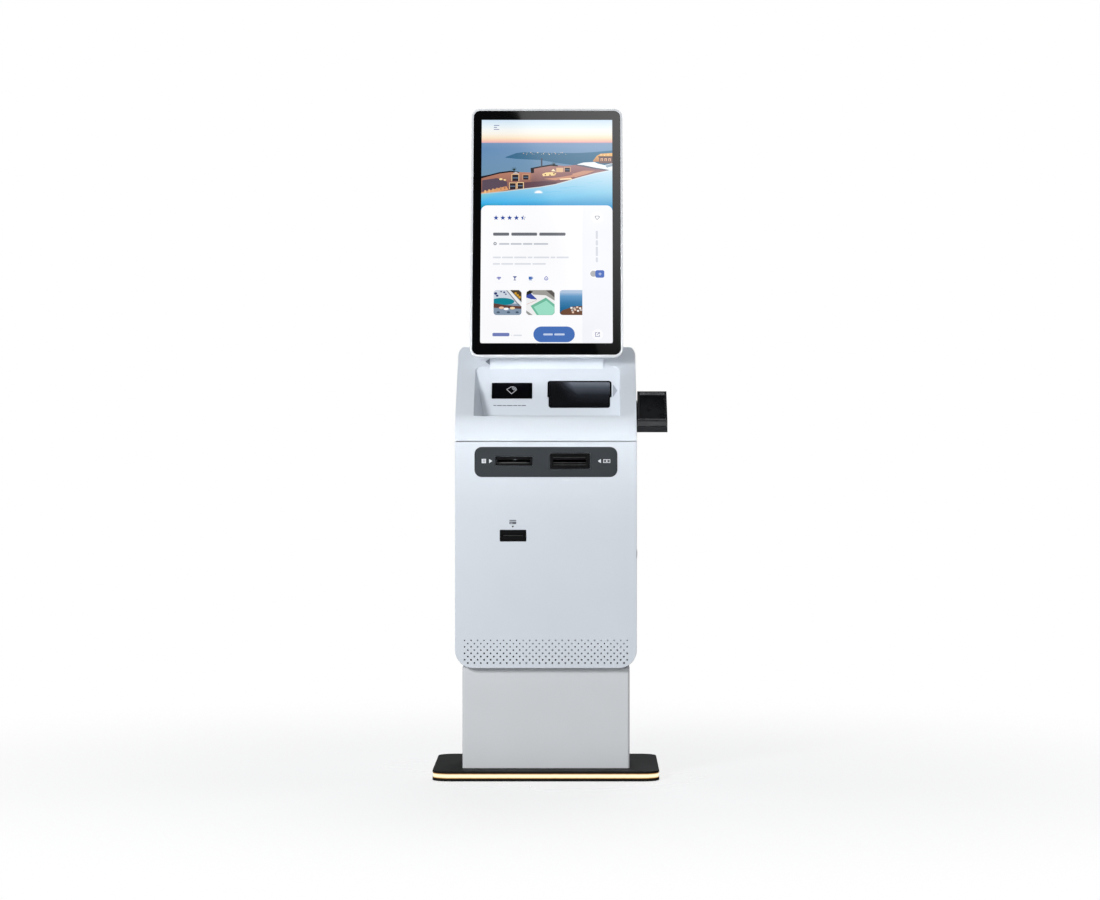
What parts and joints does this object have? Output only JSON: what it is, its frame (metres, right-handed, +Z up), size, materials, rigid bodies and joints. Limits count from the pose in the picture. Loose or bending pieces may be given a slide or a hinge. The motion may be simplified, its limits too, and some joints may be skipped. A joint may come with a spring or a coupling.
{
  "type": "self-service kiosk",
  "caption": "Free-standing self-service kiosk with a leaning portrait touch screen, sloping console, payment slots, card outlet and a lit base.",
  "frame": {"origin": "centre of the underside of the base plate, on the floor", "axes": "+X to the user's right, +Y from the user towards the kiosk's back, +Z up"},
  "size_m": [0.5855, 0.44, 1.6983],
  "materials": {
    "white_paint": "smooth satin powder coat, cool white",
    "grey_paint": "smooth satin powder coat, pale grey",
    "base_paint": "fine matt black powder coat",
    "fascia": "satin dark grey",
    "black_plastic": "fine moulded grain",
    "black_glass": "gloss black back-printed glass",
    "led_strip": "opal diffuser, lit warm white",
    "screen": "lit display panel",
    "steel": "plain machined steel",
    "zinc_sheet": "galvanised sheet",
    "module_plastic": "dark moulded plastic",
    "paper": "thermal receipt paper",
    "card": "blank white plastic cards",
    "rubber": "matt black rubber",
    "lens": "frosted guide-light lens"
  },
  "bodies": {
    "kiosk": {"cabinet_shell": "white_paint", "console_shell": "white_paint", "console_rear_cover": "white_paint", "neck_plate": "white_paint", "pedestal_shell": "grey_paint", "pedestal_rear_panel": "grey_paint", "base_plate_lower": "base_paint", "base_plate_upper": "base_paint", "pos_bracket": "fascia", "scanner_bezel": "black_plastic", "pos_tray": "black_plastic", "neck_side_cap": "black_plastic", "power_inlet": "black_plastic", "nfc_window": "black_glass", "scanner_glass": "black_glass", "led_diffuser": "led_strip", "front_hinge_fixed_1": "steel", "front_hinge_fixed_2": "steel", "rear_hinge_fixed": "steel", "tilt_bracket": "steel", "pedestal_floor_flange": "zinc_sheet", "cabinet_door_frame": "zinc_sheet", "cabinet_top_plate": "zinc_sheet", "equipment_shelf": "zinc_sheet", "power_supply": "zinc_sheet", "receipt_printer": "module_plastic", "note_acceptor": "module_plastic", "card_dispenser": "module_plastic", "industrial_pc": "module_plastic", "nfc_reader": "module_plastic", "scanner_module": "module_plastic", "card_stack": "card", "pos_pad": "rubber", "guide_light": "lens"},
    "front_door": {"front_door": "white_paint", "fascia_plate": "fascia", "receipt_bezel": "black_plastic", "note_bezel": "black_plastic", "card_bezel": "black_plastic", "front_door_catch": "zinc_sheet", "front_hinge_moving_1": "steel", "front_hinge_moving_2": "steel"},
    "front_lock": {"front_lock": "steel"},
    "rear_door": {"rear_door": "white_paint", "rear_hinge_moving": "steel", "fan_frame": "module_plastic"},
    "rear_lock": {"rear_lock": "steel"},
    "fan_rotor": {"fan_rotor": "module_plastic"},
    "monitor": {"monitor_frame": "white_paint", "monitor_rear_cover": "white_paint", "touch_glass": "black_glass", "lcd_panel": "screen", "monitor_bracket": "steel"},
    "paper_roll": {"paper_roll": "paper"},
    "platen_roller": {"platen_roller": "rubber"},
    "cash_box": {"cash_box": "module_plastic"},
    "card_pusher": {"card_pusher": "steel"},
    "rocker_switch": {"rocker_switch": "black_plastic"}
  },
  "joints": [
    {"name": "front_door_hinge", "type": "hinge", "parent": "kiosk", "child": "front_door", "pos_m": [-0.22, -0.168, 0.56], "axis": [0, 0, -1], "range_deg": [0, 105]},
    {"name": "front_lock_turn", "type": "hinge", "parent": "kiosk", "child": "front_lock", "pos_m": [0.21, -0.112, 0.56], "axis": [-1, 0, 0], "range_deg": [0, 90]},
    {"name": "rear_door_hinge", "type": "hinge", "parent": "kiosk", "child": "rear_door", "pos_m": [-0.1595, 0.1053, 0.56], "axis": [0, 0, 1], "range_deg": [0, 110]},
    {"name": "rear_lock_turn", "type": "hinge", "parent": "rear_door", "child": "rear_lock", "pos_m": [0.132, 0.1, 0.56], "axis": [0, -1, 0], "range_deg": [0, 90]},
    {"name": "fan_spin", "type": "hinge", "parent": "rear_door", "child": "fan_rotor", "pos_m": [0.08, 0.0892, 0.7], "axis": [0, 1, 0], "continuous": true},
    {"name": "monitor_tilt", "type": "hinge", "parent": "kiosk", "child": "monitor", "pos_m": [0, 0.05558, 1.22548], "axis": [1, 0, 0], "range_deg": [-5, 5]},
    {"name": "paper_roll_spin", "type": "hinge", "parent": "kiosk", "child": "paper_roll", "pos_m": [-0.0795, -0.045, 0.786], "axis": [1, 0, 0], "continuous": true},
    {"name": "platen_spin", "type": "hinge", "parent": "kiosk", "child": "platen_roller", "pos_m": [-0.0795, -0.106, 0.7938], "axis": [1, 0, 0], "continuous": true},
    {"name": "cash_box_slide", "type": "slide", "parent": "kiosk", "child": "cash_box", "axis": [0, 0, -1], "range_m": [0, 0.12]},
    {"name": "card_pusher_slide", "type": "slide", "parent": "kiosk", "child": "card_pusher", "axis": [0, -1, 0], "range_m": [0, 0.045]},
    {"name": "power_switch_rock", "type": "hinge", "parent": "kiosk", "child": "rocker_switch", "pos_m": [0.153, 0.0733, 0.073], "axis": [-1, 0, 0], "range_deg": [0, 15]}
  ]
}
